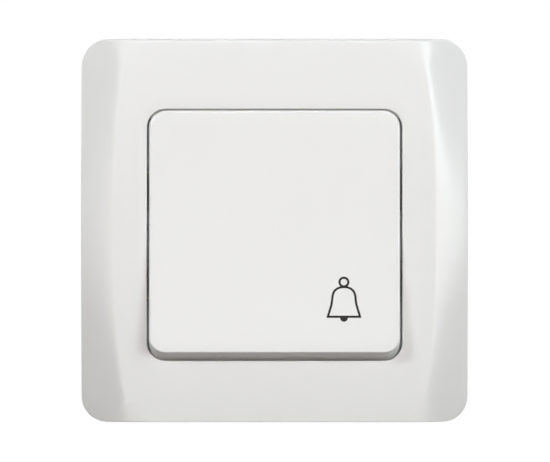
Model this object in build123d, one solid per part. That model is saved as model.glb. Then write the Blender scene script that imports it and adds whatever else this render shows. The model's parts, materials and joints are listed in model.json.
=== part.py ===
"""Flush doorbell button: a square cover frame, a rocker that is pressed at its
lower edge, and the spring-return contact set that it works. Millimetres.

Each piece is drawn as it is seen on the wall: x to the right, y up, and z out of
the wall towards the hand. The wall is the plane z = 0, and the wall box lies
behind it. Every piece is stood upright when it is saved, so that +Z is up and
the front looks along -Y.
"""
from math import cos, exp, hypot, pi, radians, sin, sqrt, tan
import os

from build123d import *

# Clearances between pieces
rest_gap = 0.05
slide_gap = 0.2
turn_gap = 0.1
hook_gap = 0.15

# Cover frame
frame_width = 84.0
frame_height = 83.0
frame_rise = 1.0
frame_depth = 9.5
frame_corner = 5.5
frame_wall = 2.0
frame_edge = 0.8
wing_thin = 1.6
wing_width = 7.1
wing_angle = 33.5
bend_middle = 6.5
bend_end = 1.2
bend_fade = 0.5
crease_angle = 15.5
crease_pull = 3.6
crease_power = 2.6

# Rocker and the opening it fills
opening_width = 55.2
opening_height = 54.2
opening_corner = 4.0
opening_edge = 0.3
rocker_gap = 0.35
rocker_wall = 1.8
rocker_face = 2.0
rocker_edge = 0.5
face_radius = 452.0
face_sink = 0.1
pivot_depth = -1.5
press_angle = 5.5

# Steel strap that lies on the wall
strap_size = 70.0
strap_thick = 1.2
strap_corner = 14.0
box_spacing = 60.0
slot_width = 4.2
slot_length = 4.6

# Rear moulding in the wall box
base_width = 36.0
base_height = 40.0
base_depth = 22.0
base_wall = 1.6
base_floor = 2.0
base_corner = 3.0
base_bevel = 0.8
rail_out = 3.0
rail_top = -4.0

# Front moulding with the bearings
flange_width = 40.4
flange_thick = 2.0
flange_corner = 3.0
tub_low = -6.5
tub_floor = 1.3
tub_end = 1.6
guide_wall = 1.2
stop_thick = 1.6
snap_in = 0.6

# Lever under the rocker
lever_width = 26.0
lever_height = 26.0
lever_low = 5.4
lever_thick = 1.8
arm_thick = 2.6
arm_height = 6.0
trunnion_radius = 2.0
trunnion_length = 2.9
nose_drop = 13.0
nose_radius = 2.0
nose_width = 5.0
nose_low = -5.0
tongue_width = 8.0

# Plunger, bridge and springs
plunger_width = 8.0
plunger_height = 7.0
plunger_foot = 2.2
plunger_head = 4.3
bridge_length = 21.4
bridge_width = 4.0
bridge_thick = 0.8
bridge_depth = -13.8
tip_radius = 1.5
bridge_tip_high = 0.7
fixed_tip_high = 0.8
contact_gap = 1.3
spigot_radius = 1.6
return_radius = 2.4
return_wire = 0.25
return_turns = 4
contact_radius = 1.5
contact_wire = 0.2
contact_turns = 4
chord_count = 12

# Terminals and contact strips
terminal_x = 8.5
terminal_y = 11.0
terminal_width = 6.5
terminal_height = 7.0
terminal_front = -11.5
terminal_sunk = 1.0
wire_bore = 1.7
wire_depth = 8.0
wire_screw_depth = -16.0
wire_screw_radius = 1.25
wire_screw_head = 2.3
wire_screw_back = 0.9
strip_width = 4.0
strip_thick = 0.8
strip_bend = 5.5
tip_pad = 6.0
bend_pad = 4.0

# Assembly screws
screw_radius = 1.1
screw_head = 2.2
screw_head_high = 1.6
head_bevel = 0.5
boss_radius = 3.0
boss_low = -9.0

# Spreading claws
claw_x = 24.75
claw_depth = -0.95
claw_width = 9.0
claw_sheet = 1.5
claw_tab = 0.75
claw_toe = 19.4
claw_reach = 17.0
tooth_out = 3.4
tooth_notch = 1.6
ear_thick = 1.2
claw_screw_x = 21.5
claw_screw_radius = 1.5
claw_screw_tip = 0.35
claw_screw_head = 2.8
claw_screw_head_high = 1.8
claw_screw_room = 1.0
collar_wall = 1.0
collar_high = 1.0

# Snap catches
catch_y = 10.0
catch_width = 8.0
catch_reach = 31.0
catch_low = 0.9
catch_thick = 0.7
hook_thick = 1.4
hook_width = 6.0
hook_nose = 1.0
cap_hook_y = 6.0
cap_hook_width = 5.0
cap_hook_nose = 0.75
rib_thick = 1.2

# Places that follow from the sizes above
frame_half_height = frame_height / 2
crease_middle = frame_width / 2 - wing_width
opening_radius = hypot(opening_height / 2, frame_depth - pivot_depth)
rocker_radius = opening_radius - rocker_gap
rocker_half = opening_width / 2 - rocker_gap
rocker_corner = opening_corner - rocker_gap
face_low = frame_depth - face_sink
rocker_top = sqrt(rocker_radius**2 - (face_low - pivot_depth) ** 2)
press = radians(press_angle)
flange_high = strap_thick + flange_thick
skirt_drop = rocker_radius * sin(press)
skirt_low = strap_thick + skirt_drop + 3 * slide_gap
screw_y = base_height / 2 + boss_radius + slide_gap
flange_height = 2 * (screw_y + boss_radius - 3 * slide_gap)
tub_width = base_width - 2 * base_wall - 2 * slide_gap
tub_height = base_height - 2 * base_wall - 2 * slide_gap
well_width = lever_width + 4 * slide_gap
well_height = tub_height - 2 * tub_end
stop_y = well_height / 2 + stop_thick - slide_gap
tongue_reach = stop_y + stop_thick
lever_high = lever_low + lever_thick
plunger_y = -nose_drop
plunger_top = nose_low - turn_gap
floor_back = -base_depth
floor_front = floor_back + base_floor
bridge_top = bridge_depth + bridge_thick
bridge_tip_low = bridge_depth - bridge_tip_high
fixed_tip_top = bridge_tip_low - contact_gap
strip_top = fixed_tip_top - fixed_tip_high
strip_low = strip_top - strip_thick
foot_low = bridge_depth - plunger_foot
window_top = plunger_top - plunger_head
claw_toe_top = claw_depth - claw_tab - turn_gap
claw_inner = claw_x - claw_tab
claw_outer = claw_inner + claw_sheet


def slab(width, height, low, high, corner=0.0, x=0.0, y=0.0):
    """Block between two depths, with its four long edges rounded."""
    block = Pos(x, y, (low + high) / 2) * Box(width, height, high - low)
    if corner > 0:
        block = fillet(block.edges().filter_by(Axis.Z), corner)
    return block


def post(radius, low, high, x=0.0, y=0.0):
    """Round post between two depths."""
    return Pos(x, y, (low + high) / 2) * Cylinder(radius, high - low)


def roller(radius, length, x, y, z):
    """Round bar that lies across, along x."""
    return Pos(x, y, z) * Rot(0, 90, 0) * Cylinder(radius, length)


def both_sides(piece):
    """A piece of the right-hand side together with its mirror image."""
    return piece + mirror(piece, Plane.YZ)


def rocking_block(half_width, radius, corner, low, high):
    """Block whose upper and lower walls are round about the pivot."""
    drum = roller(radius, 2 * half_width, 0, 0, pivot_depth)
    block = drum & slab(3 * half_width, 3 * radius, low, high)
    if corner == 0:
        return block
    walls = block.faces().filter_by(lambda f: f.geom_type == GeomType.CYLINDER)
    ends = [e for f in walls for e in f.edges() if e.geom_type == GeomType.CIRCLE]
    return fillet(ends, corner)


def crease_at(part_way):
    """Distance of the crease from the middle line, from mid-height (0) to the ends (1)."""
    return crease_middle - crease_pull * part_way**crease_power


def wing_out(x, part_way):
    """How far out a wing lies: it bends slowly at mid-height and fast at the ends."""
    past = x - crease_at(part_way)
    near = tan(radians(crease_angle))
    far = tan(radians(wing_angle))
    bend = bend_end + (bend_middle - bend_end) * exp(-((part_way / bend_fade) ** 2))
    return frame_depth - far * past + (far - near) * bend * (1 - exp(-past / bend))


def wing_section(y):
    """Outline of what is cut away beside one crease, at one height."""
    part_way = abs(y) / frame_half_height
    crease = crease_at(part_way)
    run = frame_width / 2 + frame_wall - crease
    places = [crease + run * (k / 5) ** 2 for k in range(6)]
    bowed = [(x, y, wing_out(x, part_way)) for x in places]
    first = radians(crease_angle)
    start = (crease - frame_wall * cos(first), y, frame_depth + frame_wall * sin(first))
    end = bowed[-1]
    above = frame_depth + frame_wall
    return make_face(
        [
            Line(start, bowed[0]),
            Spline(bowed),
            Polyline(end, (end[0], y, above), (start[0], y, above), start),
        ]
    )


def wing_cut():
    """All that is cut away beside the right-hand crease."""
    reach = frame_half_height + frame_wall
    heights = [reach * k / 4 for k in range(-4, 5)]
    return Pos(0, frame_rise, 0) * loft([wing_section(y) for y in heights])


def wing_back():
    """What stays solid behind the right-hand wing, with a slanting inner face."""
    inside = frame_depth - frame_wall
    wall_x = frame_width / 2 - frame_wall
    edge = wing_out(wall_x, 1 - frame_wall / frame_half_height) - wing_thin
    outline = Polyline(
        (crease_middle - wing_thin, inside),
        (wall_x, edge),
        (frame_width, edge),
        (frame_width, frame_depth),
        (crease_middle - wing_thin, frame_depth),
        close=True,
    )
    face = make_face(Plane.XZ * outline)
    return Pos(0, frame_rise, 0) * extrude(face, frame_height / 2, both=True)


def make_cover_frame():
    """Hollow square frame with bent-back wings, opening, collar and hooks."""
    cut = wing_cut()
    outer = slab(frame_width, frame_height, 0, frame_depth, frame_corner, 0, frame_rise)
    outer = outer - both_sides(cut)
    rim = [
        e
        for e in outer.edges()
        if e.center().Z > frame_edge
        and (
            abs(e.center().X) > frame_width / 2 - frame_corner
            or abs(e.center().Y - frame_rise) > frame_half_height - frame_corner
        )
        and not (e.geom_type == GeomType.LINE and abs(e.tangent_at(0.5).Z) > 0.9)
    ]
    outer = fillet(rim, frame_edge)
    hollow = slab(
        frame_width - 2 * frame_wall,
        frame_height - 2 * frame_wall,
        -1,
        frame_depth - frame_wall,
        frame_corner - frame_wall,
        0,
        frame_rise,
    )
    hollow = hollow - both_sides(wing_back())
    frame = outer - hollow
    inside = frame_depth - frame_wall
    collar_low = strap_thick + catch_low + 2 * catch_thick
    collar_x = opening_width + frame_wall
    collar_y = 2 * opening_radius + frame_wall
    ring = slab(
        collar_x + 2 * wing_thin,
        collar_y + 2 * wing_thin,
        collar_low,
        inside + rest_gap,
        opening_corner + wing_thin,
    )
    frame = frame + (ring - slab(collar_x, collar_y, 0, frame_depth, opening_corner))
    opening = rocking_block(
        opening_width / 2, opening_radius, opening_corner, collar_low - 1, frame_depth + 1
    )
    frame = frame - opening
    lip = frame.faces().sort_by(Axis.Z)[-1].inner_wires()[0]
    frame = chamfer(lip.edges(), opening_edge)
    hook_in = catch_reach + hook_gap
    hook_low = strap_thick + turn_gap
    nose_high = strap_thick + catch_low - turn_gap
    for y in (-catch_y, catch_y):
        leg_x = hook_in + hook_thick / 2
        leg = slab(hook_thick, hook_width, hook_low, inside + rest_gap, 0, leg_x, y)
        nose_x = hook_in - hook_nose / 2
        nose = slab(hook_nose + rest_gap, hook_width, hook_low, nose_high, 0, nose_x, y)
        frame = frame + both_sides(leg + nose)
    return frame


def face_drum(thickness):
    """Large drum whose underside is the rocker's face, or a layer below it."""
    radius = face_radius + thickness
    return roller(radius, 3 * rocker_half, 0, rocker_top, face_low + face_radius)


def make_rocker_cap():
    """Rocker shell with a hollowed face, ribs and hooks for the lever."""
    above = frame_depth + frame_wall + opening_corner
    shell = rocking_block(rocker_half, rocker_radius, rocker_corner, skirt_low, above)
    shell = shell - face_drum(0)
    top = shell.faces().filter_by(
        lambda f: f.geom_type == GeomType.CYLINDER and f.radius > 2 * rocker_radius
    )
    shell = chamfer(top.edges(), rocker_edge)
    cavity = rocking_block(
        rocker_half - rocker_wall,
        rocker_radius - rocker_wall,
        0,
        skirt_low - 1,
        above,
    )
    cap = shell - (cavity - face_drum(rocker_face))
    rib_y = lever_height / 2 - rocker_wall
    ribs = slab(lever_width - rocker_wall, rib_thick, lever_high + rest_gap, above)
    for y in (-rib_y, rib_y):
        ribs = ribs + slab(
            lever_width - rocker_wall, rib_thick, lever_high + rest_gap, above, 0, 0, y
        )
    hook_in = lever_width / 2 + hook_gap
    hook_low = lever_low - turn_gap - catch_thick
    for y in (-cap_hook_y, cap_hook_y):
        leg = slab(hook_thick, cap_hook_width, hook_low, above, 0, hook_in + hook_thick / 2, y)
        nose = slab(
            cap_hook_nose + rest_gap,
            cap_hook_width,
            hook_low,
            hook_low + catch_thick,
            0,
            hook_in - cap_hook_nose / 2,
            y,
        )
        ribs = ribs + both_sides(leg + nose)
    return cap + (ribs - face_drum(rocker_face / 2))


def make_rocker_lever():
    """Cradle with two trunnions, stop tongues and the nose for the plunger."""
    plate = slab(lever_width, lever_height, lever_low, lever_high, 1.0)
    tongue = slab(tongue_width, 2 * tongue_reach, lever_low, lever_high, 1.0)
    arm_x = lever_width / 2 - arm_thick / 2
    arm = slab(arm_thick, arm_height, pivot_depth, lever_high, 0, arm_x)
    arm = arm + roller(arm_height / 2, arm_thick, arm_x, 0, pivot_depth)
    pin_x = lever_width / 2 + trunnion_length / 2
    arm = arm + roller(trunnion_radius, trunnion_length + 1, pin_x - 0.5, 0, pivot_depth)
    nose_z = nose_low + nose_radius
    nose = slab(nose_width, 2 * nose_radius, nose_z, lever_high, 0, 0, plunger_y)
    nose = nose + roller(nose_radius, nose_width, 0, plunger_y, nose_z)
    lever = plate + tongue + both_sides(arm) + nose
    rib = slab(rib_thick, nose_drop, lever_low - lever_thick, lever_high, 0, 0, plunger_y / 2)
    return lever + rib


def make_bearing_plate():
    """Front moulding: flange, tub with bearings, plunger guide and catches."""
    flange = slab(flange_width, flange_height, strap_thick, flange_high, flange_corner)
    notch_x = claw_screw_x - claw_screw_head - slide_gap
    notch_high = 2 * claw_screw_head + 8 * slide_gap
    notch = slab(
        flange_width, notch_high, 0, frame_depth, 1.0, notch_x + flange_width / 2
    )
    flange = flange - both_sides(notch)
    tub = slab(tub_width, tub_height, tub_low, flange_high, base_corner - base_wall)
    plate = flange + tub
    well_low = tub_low + tub_floor
    plate = plate - slab(well_width, well_height, well_low, frame_depth)
    guide_x = plunger_width + 2 * slide_gap
    guide_y = plunger_height + 2 * slide_gap
    guide_low = window_top + slide_gap
    guide = slab(
        guide_x + 2 * guide_wall,
        guide_y + 2 * guide_wall,
        guide_low,
        well_low,
        guide_wall / 2,
        0,
        plunger_y,
    )
    plate = plate + guide
    plate = plate - slab(guide_x, guide_y, guide_low - 1, well_low + 1, 0, 0, plunger_y)
    bearing = roller(trunnion_radius + turn_gap, base_width, 0, 0, pivot_depth)
    entry = slab(base_width, 2 * trunnion_radius - snap_in, pivot_depth, frame_depth)
    plate = plate - (bearing & slab(tub_width + 1, arm_height, tub_low, flange_high + 1))
    plate = plate - entry
    rest_top = lever_low - rest_gap
    plate = plate + slab(tongue_width, stop_thick, strap_thick, rest_top, 0, 0, stop_y)
    swung = pivot_depth + (lever_low - pivot_depth) * cos(press)
    end_top = swung - (stop_y + stop_thick / 2) * sin(press) - turn_gap
    plate = plate + slab(tongue_width, stop_thick, strap_thick, end_top, 0, 0, -stop_y)
    lug_low = strap_thick + catch_low
    lug_high = lug_low + catch_thick
    foot_x = catch_reach - hook_nose - 1.5
    for y in (-catch_y, catch_y):
        inner = flange_width / 2 - 2
        foot = slab(foot_x - inner, catch_width, strap_thick, lug_high, 0, (foot_x + inner) / 2, y)
        lug = slab(
            catch_reach - inner, catch_width, lug_low, lug_high, 0, (catch_reach + inner) / 2, y
        )
        plate = plate + both_sides(foot + lug)
    for y in (-screw_y, screw_y):
        plate = plate - post(screw_radius + turn_gap, 0, flange_high + 1, 0, y)
    return plate


def make_mounting_strap():
    """Flat steel strap with a window, box-screw slots, screw collars and ears."""
    strap = slab(strap_size, strap_size, 0, strap_thick)
    strap = chamfer(strap.edges().filter_by(Axis.Z), strap_corner)
    window_x = base_width + 5 * slide_gap
    window_y = base_height + 5 * slide_gap
    strap = strap - slab(window_x, window_y, -1, strap_thick + 1, base_corner)
    slot = extrude(SlotOverall(slot_length, slot_width), strap_thick + 2)
    for turn in (0, 90, 180, 270):
        strap = strap - Rot(0, 0, turn) * Pos(box_spacing / 2, 0, -1) * slot
    for y in (-screw_y, screw_y):
        strap = strap - post(screw_radius + slide_gap, -1, strap_thick + 1, 0, y)
    hole = claw_screw_radius + turn_gap
    collar = post(hole + collar_wall, 0, strap_thick + collar_high, claw_screw_x)
    strap = strap + both_sides(collar)
    strap = strap - both_sides(post(hole, -1, frame_depth, claw_screw_x))
    ear_y = claw_width / 2 + slide_gap + ear_thick / 2
    ear_half = claw_tab + turn_gap + ear_thick / 2
    for y in (-ear_y, ear_y):
        ear = slab(2 * ear_half, ear_thick, claw_depth, rest_gap, 0, claw_x, y)
        round_end = Pos(claw_x, y, claw_depth) * Rot(90, 0, 0) * Cylinder(ear_half, ear_thick)
        eye = Pos(claw_x, y, claw_depth) * Rot(90, 0, 0) * Cylinder(claw_tab + turn_gap, 3)
        strap = strap + both_sides(ear + round_end)
        strap = strap - both_sides(eye)
    return strap


def make_base_housing():
    """Rear moulding: contact chamber, terminal pockets and screw bosses."""
    rim = strap_thick - slide_gap
    base = slab(base_width, base_height, floor_back, rim, base_corner)
    base = chamfer(base.faces().sort_by(Axis.Z)[0].edges(), base_bevel)
    inner_x = base_width - 2 * base_wall
    inner_y = base_height - 2 * base_wall
    base = base - slab(inner_x, inner_y, floor_front, rim + 1, base_corner - base_wall)
    for y in (-screw_y, screw_y):
        side = 1 if y > 0 else -1
        boss = post(boss_radius, boss_low, -rest_gap, 0, y)
        neck_y = (base_height / 2 - base_wall / 2 + screw_y) / 2 * side
        neck_long = screw_y - base_height / 2 + base_wall / 2
        boss = boss + slab(2 * boss_radius, neck_long, boss_low, -rest_gap, 0, 0, neck_y)
        base = base + boss
        base = base - post(screw_radius + rest_gap, boss_low + 1.5, rim, 0, y)
    pocket_x = terminal_width + 2 * slide_gap
    pocket_y = terminal_height + 2 * slide_gap
    pocket_high = terminal_front - 0.5
    wall_y = pocket_y + 1.2
    pocket = slab(
        pocket_x + 2.4, wall_y, floor_back + 1, pocket_high, 0, terminal_x, terminal_y - 0.6
    )
    pad_z = strip_low - rest_gap
    pad = slab(strip_width, tip_pad, floor_back + 1, pad_z, 0, terminal_x, plunger_y)
    pad_y = strip_bend - bend_pad
    pad = pad + slab(strip_width, bend_pad, floor_back + 1, pad_z, 0, terminal_x, pad_y)
    base = base + both_sides(pocket + pad)
    base = base - both_sides(
        slab(pocket_x, pocket_y, floor_back - 1, pocket_high + 1, 0, terminal_x, terminal_y)
    )
    lead_in = slab(
        pocket_x + base_wall, pocket_y + base_wall, floor_back - 1, floor_back + terminal_sunk / 2,
        base_wall / 2, terminal_x, terminal_y,
    )
    base = base - both_sides(lead_in)
    access = Pos(terminal_x, base_height / 2, wire_screw_depth) * Rot(90, 0, 0)
    base = base - both_sides(access * Cylinder(wire_screw_head + 0.3, 3 * base_wall))
    rail_y = claw_width / 2 + 4 * slide_gap + rib_thick / 2
    for y in (-rail_y, rail_y):
        rail = slab(
            2 * rail_out, rib_thick, floor_back + 2 * base_wall, rail_top, 0, base_width / 2, y
        )
        base = base + both_sides(rail - slab(base_width - base_wall, base_height, floor_back, rim))
    spigot = post(spigot_radius, floor_back + 1, floor_front + 1.4, 0, plunger_y)
    return base + spigot


def make_plunger():
    """Plunger with a cross window for the bridge and a spigot for its spring."""
    body = slab(plunger_width, plunger_height, foot_low, plunger_top, 0.6, 0, plunger_y)
    window_y = bridge_width + 2 * slide_gap
    window_mid = (bridge_depth + window_top) / 2
    window = Pos(0, plunger_y, window_mid) * Box(
        plunger_width + 2, window_y, window_top - bridge_depth
    )
    spigot = post(spigot_radius, foot_low - 1.0, foot_low + 0.5, 0, plunger_y)
    return body - window + spigot


def coil(radius, wire, turns, low, high):
    """Coil spring round the plunger's axis between two depths."""
    height = high - low - 2 * wire
    chords = turns * chord_count
    points = []
    for k in range(chords + 1):
        angle = 2 * pi * k / chord_count
        points.append((radius * cos(angle), radius * sin(angle), height * k / chords))
    path = Polyline(points)
    section = Plane(path @ 0, z_dir=path % 0) * RegularPolygon(wire, 6)
    return Pos(0, plunger_y, low + wire) * sweep(section, path, transition=Transition.RIGHT)


def make_fixed_contact():
    """Brass strip from the right-hand terminal to its contact tip."""
    far = terminal_y + terminal_height / 2 - 1.5
    near = plunger_y - 2.2
    front = terminal_front + strip_thick
    bend = strip_bend - strip_thick
    outline = Polyline(
        (far, terminal_front),
        (strip_bend, terminal_front),
        (strip_bend, strip_low),
        (near, strip_low),
        (near, strip_top),
        (bend, strip_top),
        (bend, front),
        (far, front),
        close=True,
    )
    return Pos(terminal_x, 0, 0) * extrude(
        make_face(Plane.YZ * outline), strip_width / 2, both=True
    )


def make_terminal():
    """Brass block of the right-hand terminal with its wire bore and screw hole."""
    back = floor_back + terminal_sunk
    block = slab(
        terminal_width, terminal_height, back, terminal_front, 0, terminal_x, terminal_y
    )
    block = block - post(wire_bore, back - 1, back + wire_depth, terminal_x, terminal_y)
    hole_y = terminal_y + terminal_height / 2
    hole = Pos(terminal_x, hole_y, wire_screw_depth) * Rot(90, 0, 0)
    return block - hole * Cylinder(wire_screw_radius + rest_gap, terminal_height)


def make_terminal_screw():
    """Wire screw of the right-hand terminal, backed off from the bore."""
    tip = terminal_y + wire_bore + slide_gap
    seat = terminal_y + terminal_height / 2 + wire_screw_back
    shank = Pos(terminal_x, (tip + seat) / 2, wire_screw_depth) * Rot(90, 0, 0)
    head = Pos(terminal_x, seat + 1.0, wire_screw_depth) * Rot(90, 0, 0)
    return shank * Cylinder(wire_screw_radius, seat - tip) + head * Cylinder(
        wire_screw_head, 2.0
    )


def make_claw():
    """Right-hand spreading claw: toe, leg with teeth, and hinge tabs."""
    low = claw_toe_top - claw_reach
    toe_low = claw_toe_top - claw_sheet
    outline = Polyline(
        (claw_toe, claw_toe_top),
        (claw_inner, claw_toe_top),
        (claw_inner, claw_depth),
        (claw_outer, claw_depth),
        (claw_outer, claw_toe_top),
        (claw_outer + 1.1, low + 2.2),
        (claw_outer + 2.9, low + 0.2),
        (claw_outer + 2.0, low - 0.8),
        (claw_outer - 0.4, low + 1.6),
        (claw_inner, toe_low),
        (claw_toe, toe_low),
        close=True,
    )
    claw = extrude(make_face(Plane.XZ * outline), claw_width / 2, both=True)
    for y in (-claw_width / 4, claw_width / 4):
        notch = Pos(claw_outer + tooth_out, y, low) * Rot(0, 0, 45)
        notch = notch * Box(tooth_notch, tooth_notch, 4 * tooth_notch)
        claw = claw - notch
    tab_long = claw_width + 2 * slide_gap + 2 * ear_thick
    tab = Pos(claw_x, 0, claw_depth) * Rot(90, 0, 0) * Cylinder(claw_tab, tab_long)
    return claw + tab


def make_claw_screw():
    """Right-hand claw screw with a cone tip on the claw's toe."""
    seat = strap_thick + collar_high + claw_screw_room + slide_gap
    shank = post(claw_screw_radius, claw_toe_top + turn_gap, seat + 0.5, claw_screw_x)
    shank = chamfer(shank.edges().sort_by(Axis.Z)[0], claw_screw_radius - claw_screw_tip)
    head = post(claw_screw_head, seat, seat + claw_screw_head_high, claw_screw_x)
    head = chamfer(head.edges().sort_by(Axis.Z)[-1], head_bevel)
    return shank + head


def make_assembly_screw():
    """Screw through front moulding and strap into the rear moulding's boss."""
    head = post(screw_head, flange_high, flange_high + screw_head_high, 0, screw_y)
    head = chamfer(head.edges().sort_by(Axis.Z)[-1], head_bevel)
    return head + post(screw_radius, boss_low + 2, flange_high + 0.5, 0, screw_y)


def left(piece):
    """The left-hand twin of a right-hand piece."""
    return mirror(piece, Plane.YZ)


def pair(one, two):
    """Two separate solids kept as one group."""
    return Compound(one.solids() + two.solids())


terminal = make_terminal()
contact = make_fixed_contact()
claw = make_claw()
claw_screw = make_claw_screw()
wire_screw = make_terminal_screw()
assembly_screw = make_assembly_screw()
bridge = slab(bridge_length, bridge_width, bridge_depth, bridge_top, 0.5, 0, plunger_y)
bridge_tip = post(tip_radius, bridge_tip_low, bridge_depth, terminal_x, plunger_y)
fixed_tip = post(tip_radius, strip_top, fixed_tip_top, terminal_x, plunger_y)

pieces = {
    "cover_frame": make_cover_frame(),
    "rocker_cap": make_rocker_cap(),
    "rocker_lever": make_rocker_lever(),
    "bearing_plate": make_bearing_plate(),
    "mounting_strap": make_mounting_strap(),
    "base_housing": make_base_housing(),
    "assembly_screws": pair(assembly_screw, mirror(assembly_screw, Plane.XZ)),
    "contact_plunger": make_plunger(),
    "return_spring": coil(return_radius, return_wire, return_turns, floor_front, foot_low),
    "contact_bridge": bridge,
    "bridge_tips": pair(bridge_tip, left(bridge_tip)),
    "contact_spring": coil(contact_radius, contact_wire, contact_turns, bridge_top, window_top),
    "fixed_contact_left": left(contact),
    "fixed_contact_right": contact,
    "fixed_tips": pair(fixed_tip, left(fixed_tip)),
    "terminal_left": left(terminal),
    "terminal_right": terminal,
    "terminal_screws": pair(wire_screw, left(wire_screw)),
    "claw_left": left(claw),
    "claw_right": claw,
    "claw_screw_left": left(claw_screw),
    "claw_screw_right": claw_screw,
}

os.makedirs("parts", exist_ok=True)
for name, piece in pieces.items():
    export_step(Rot(90, 0, 0) * piece, f"parts/{name}.step")
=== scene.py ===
"""A flush doorbell button, dressed for the eye.

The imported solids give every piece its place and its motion. This script rebuilds the pieces that need a
finer shape than the solids have, gives each piece the finish of its real material, and sets a plain studio
round them.

Sizes are millimetres on the wall: x to the right, up, and out of the wall towards the hand.
"""
from __future__ import annotations

import json
import logging
from collections.abc import Iterable, Sequence
from dataclasses import dataclass, field
from enum import Enum
from math import atan2, ceil, cos, exp, hypot, pi, radians, sin, sqrt, tan
from typing import Any, ClassVar

import bmesh
import bpy
from bmesh.types import BMesh, BMFace, BMVert
from mathutils import Matrix, Vector

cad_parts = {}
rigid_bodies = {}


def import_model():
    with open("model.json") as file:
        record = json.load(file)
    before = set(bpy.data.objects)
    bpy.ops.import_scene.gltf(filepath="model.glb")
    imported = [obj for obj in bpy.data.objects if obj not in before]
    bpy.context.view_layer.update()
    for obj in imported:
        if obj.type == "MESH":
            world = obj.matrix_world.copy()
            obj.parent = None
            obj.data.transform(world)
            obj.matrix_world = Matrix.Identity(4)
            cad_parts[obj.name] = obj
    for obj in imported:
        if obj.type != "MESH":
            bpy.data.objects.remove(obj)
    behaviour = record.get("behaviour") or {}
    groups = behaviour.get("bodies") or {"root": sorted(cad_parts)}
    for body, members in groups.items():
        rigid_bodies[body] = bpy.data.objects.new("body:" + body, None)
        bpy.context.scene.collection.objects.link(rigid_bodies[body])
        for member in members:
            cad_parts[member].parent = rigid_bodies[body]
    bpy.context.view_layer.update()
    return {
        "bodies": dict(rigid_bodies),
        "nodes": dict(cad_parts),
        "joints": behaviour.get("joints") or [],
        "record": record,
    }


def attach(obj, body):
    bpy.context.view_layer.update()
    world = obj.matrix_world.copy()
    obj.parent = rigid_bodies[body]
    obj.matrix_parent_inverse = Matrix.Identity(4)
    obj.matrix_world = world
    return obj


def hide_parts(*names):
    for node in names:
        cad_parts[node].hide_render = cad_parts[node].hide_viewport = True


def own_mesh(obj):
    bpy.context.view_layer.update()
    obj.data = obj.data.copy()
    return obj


LOG = logging.getLogger("doorbell_button")
MM = 0.001
# Points of a new mesh, and of a copied solid, that lie closer than this are one point.
WELD, SOLID_WELD = MM * 1e-4, MM * 1e-3
# A place is told from its neighbours by this distance.
NEAR = MM * 0.01
# A rib or a hook reaches this far into the wall that it grows from.
SUNK = 0.05
# The rocker turns about a line this far out of the wall, so behind the wall's face.
PIVOT_OUT = -1.5
# Nearly all values of a noise texture lie between these.
NOISE_LOW, NOISE_HIGH = 0.3, 0.7
# A band of the wave texture is this wide at a scale of 1.
WAVE_BAND = 0.314


class Body(Enum):
    """The bodies that pieces ride on."""

    INSERT = "insert"
    ROCKER = "rocker"
    PLUNGER = "plunger"
    LEFT_CLAW = "left_claw"
    RIGHT_CLAW = "right_claw"
    LEFT_SCREW = "left_screw"
    RIGHT_SCREW = "right_screw"


class Slot(Enum):
    """The record's material slots."""

    FRAME = "frame_abs"
    ROCKER = "rocker_abs"
    WHITE_POLYAMIDE = "white_polyamide"
    GREY_POLYAMIDE = "grey_polyamide"
    STEEL = "zinc_steel"
    SCREW = "zinc_screw"
    SPRING = "spring_steel"
    BRASS = "brass"
    SILVER = "silver_tips"


def spot(x: float, up: float, out: float) -> Vector:
    """Turn wall millimetres into the scene's metres."""
    return Vector((x, -out, up)) * MM


def lift(plan: Vector, out: float) -> Vector:
    """Place a point of the wall's plan at a distance out of the wall."""
    return spot(plan.x, plan.y, out)


def flat(place: Vector) -> Vector:
    """Give the plan of a place, in wall millimetres."""
    return Vector((place.x, place.z)) / MM


def steps(first: float, last: float, count: int) -> list[float]:
    """Divide a stretch evenly.

    Args:
        first: Where the stretch starts.
        last: Where it ends.
        count: How many parts it has.

    Returns:
        The ends and the points between them, in order.
    """
    return [first + (last - first) * k / count for k in range(count + 1)]


def round_corner(corner: Vector, one: Vector, other: Vector, radius: float, count: int) -> list[Vector]:
    """Round a corner with an arc that touches both of its legs.

    Args:
        corner: The sharp corner.
        one: Direction of the leg that the arc starts on.
        other: Direction of the leg that it ends on.
        radius: Radius in millimetres.
        count: How many chords the arc has.

    Returns:
        The arc's points, both ends among them.
    """
    one, other = one.normalized(), other.normalized()
    half = one.angle(other) / 2
    middle = corner + (one + other).normalized() * (radius * MM / sin(half))
    start = corner + one * (radius * MM / tan(half)) - middle
    end = corner + other * (radius * MM / tan(half)) - middle
    return [middle + start.slerp(end, share) * (radius * MM) for share in steps(0.0, 1.0, count)]


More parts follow.
